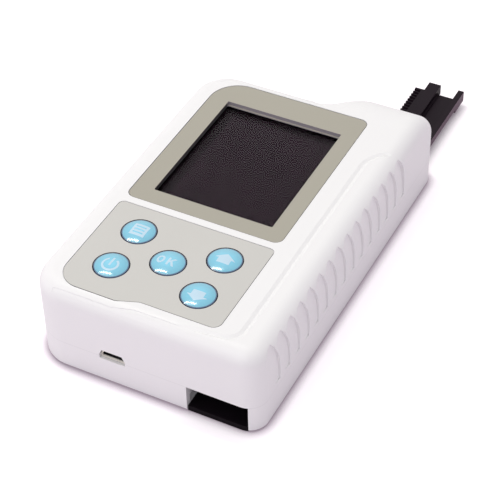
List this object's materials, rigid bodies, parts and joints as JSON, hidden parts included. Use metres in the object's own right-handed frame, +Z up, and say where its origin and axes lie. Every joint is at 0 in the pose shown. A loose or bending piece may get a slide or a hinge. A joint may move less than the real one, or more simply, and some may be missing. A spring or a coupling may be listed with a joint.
{
  "type": "handheld urine analyzer",
  "caption": "Handheld strip reader with a colour display, blue domed keys, a charging socket, and a black toothed strip tray that runs out at the back.",
  "frame": {"origin": "middle of the flat base of the case, halfway across its width and along its length", "axes": "+Y runs from the keypad end to the end where the tray comes out, +Z up out of the display side, +X to the grip side"},
  "size_m": [0.0734, 0.1648, 0.0303],
  "materials": {
    "case_white": "fine satin moulded plastic",
    "bezel_grey": "warm grey satin plastic",
    "window_glass": "clear pane over a dark display",
    "lcd_dark": "dark switched-off display",
    "bracket_black": "black moulded frame",
    "overlay_grey": "light grey membrane film",
    "key_blue": "light blue domed keys with printed signs",
    "switch_black": "black switch cases",
    "board_green": "green circuit board",
    "chip_black": "black packages",
    "cell_foil": "foil pouch cell",
    "screw_steel": "zinc plated",
    "socket_steel": "plated socket shell",
    "tongue_black": "black moulded tongue",
    "tray_black": "black satin moulding",
    "tile_white": "matte white reference",
    "guide_black": "black moulding",
    "gear_white": "natural white moulded gears",
    "pinion_brass": "cut brass",
    "shaft_steel": "ground steel",
    "motor_steel": "drawn steel can",
    "bracket_steel": "folded sheet",
    "head_black": "light-tight black moulding",
    "aperture_glass": "small clear window",
    "lamp_lens": "cast lamp bodies"
  },
  "bodies": {
    "case": {"upper_housing": "case_white", "lower_housing": "case_white", "housing_screws": "screw_steel", "screen_bezel": "bezel_grey", "display_window": "window_glass", "lcd_panel": "lcd_dark", "display_bracket": "bracket_black", "keypad_overlay": "overlay_grey", "key_switches": "switch_black", "display_board": "board_green", "main_board": "board_green", "main_chips": "chip_black", "battery": "cell_foil", "main_board_screws": "screw_steel", "display_board_screws": "screw_steel", "usb_shell": "socket_steel", "usb_tongue": "tongue_black", "tray_guide": "guide_black", "drive_motor": "motor_steel", "motor_bracket": "bracket_steel", "optical_head": "head_black", "aperture_glass": "aperture_glass", "sensor_board": "board_green", "head_lamps": "lamp_lens"},
    "tray": {"strip_tray": "tray_black", "reference_tile": "tile_white"},
    "drive": {"drive_pinion": "gear_white", "drive_gear": "gear_white", "drive_shaft": "shaft_steel"},
    "motor_spindle": {"motor_pinion": "pinion_brass", "motor_shaft": "shaft_steel"},
    "list_key_cap": {"list_key": "key_blue"},
    "power_key_cap": {"power_key": "key_blue"},
    "ok_key_cap": {"ok_key": "key_blue"},
    "up_key_cap": {"up_key": "key_blue"},
    "down_key_cap": {"down_key": "key_blue"}
  },
  "joints": [
    {"name": "tray_slide", "type": "slide", "parent": "case", "child": "tray", "axis": [0, 1, 0], "range_m": [-0.038, 0.055]},
    {"name": "drive_spin", "type": "hinge", "parent": "case", "child": "drive", "pos_m": [0.01325, 0.041, 0.00822], "axis": [1, 0, 0], "range_deg": [-490, 706]},
    {"name": "motor_spin", "type": "hinge", "parent": "case", "child": "motor_spindle", "pos_m": [0.01005, 0.03225, 0.0112], "axis": [1, 0, 0], "range_deg": [-1095, 760]},
    {"name": "list_press", "type": "slide", "parent": "case", "child": "list_key_cap", "axis": [0, 0, -1], "range_m": [0, 0.00035], "stiffness_N_per_m": 1500, "springref_m": -0.0003},
    {"name": "power_press", "type": "slide", "parent": "case", "child": "power_key_cap", "axis": [0, 0, -1], "range_m": [0, 0.00035], "stiffness_N_per_m": 1500, "springref_m": -0.0003},
    {"name": "ok_press", "type": "slide", "parent": "case", "child": "ok_key_cap", "axis": [0, 0, -1], "range_m": [0, 0.00035], "stiffness_N_per_m": 1500, "springref_m": -0.0003},
    {"name": "up_press", "type": "slide", "parent": "case", "child": "up_key_cap", "axis": [0, 0, -1], "range_m": [0, 0.00035], "stiffness_N_per_m": 1500, "springref_m": -0.0003},
    {"name": "down_press", "type": "slide", "parent": "case", "child": "down_key_cap", "axis": [0, 0, -1], "range_m": [0, 0.00035], "stiffness_N_per_m": 1500, "springref_m": -0.0003}
  ],
  "couplings": [
    {"joint": "drive_spin", "follows": "tray_slide", "rad_per_m": 222.22},
    {"joint": "motor_spin", "follows": "tray_slide", "rad_per_m": -345.68}
  ]
}
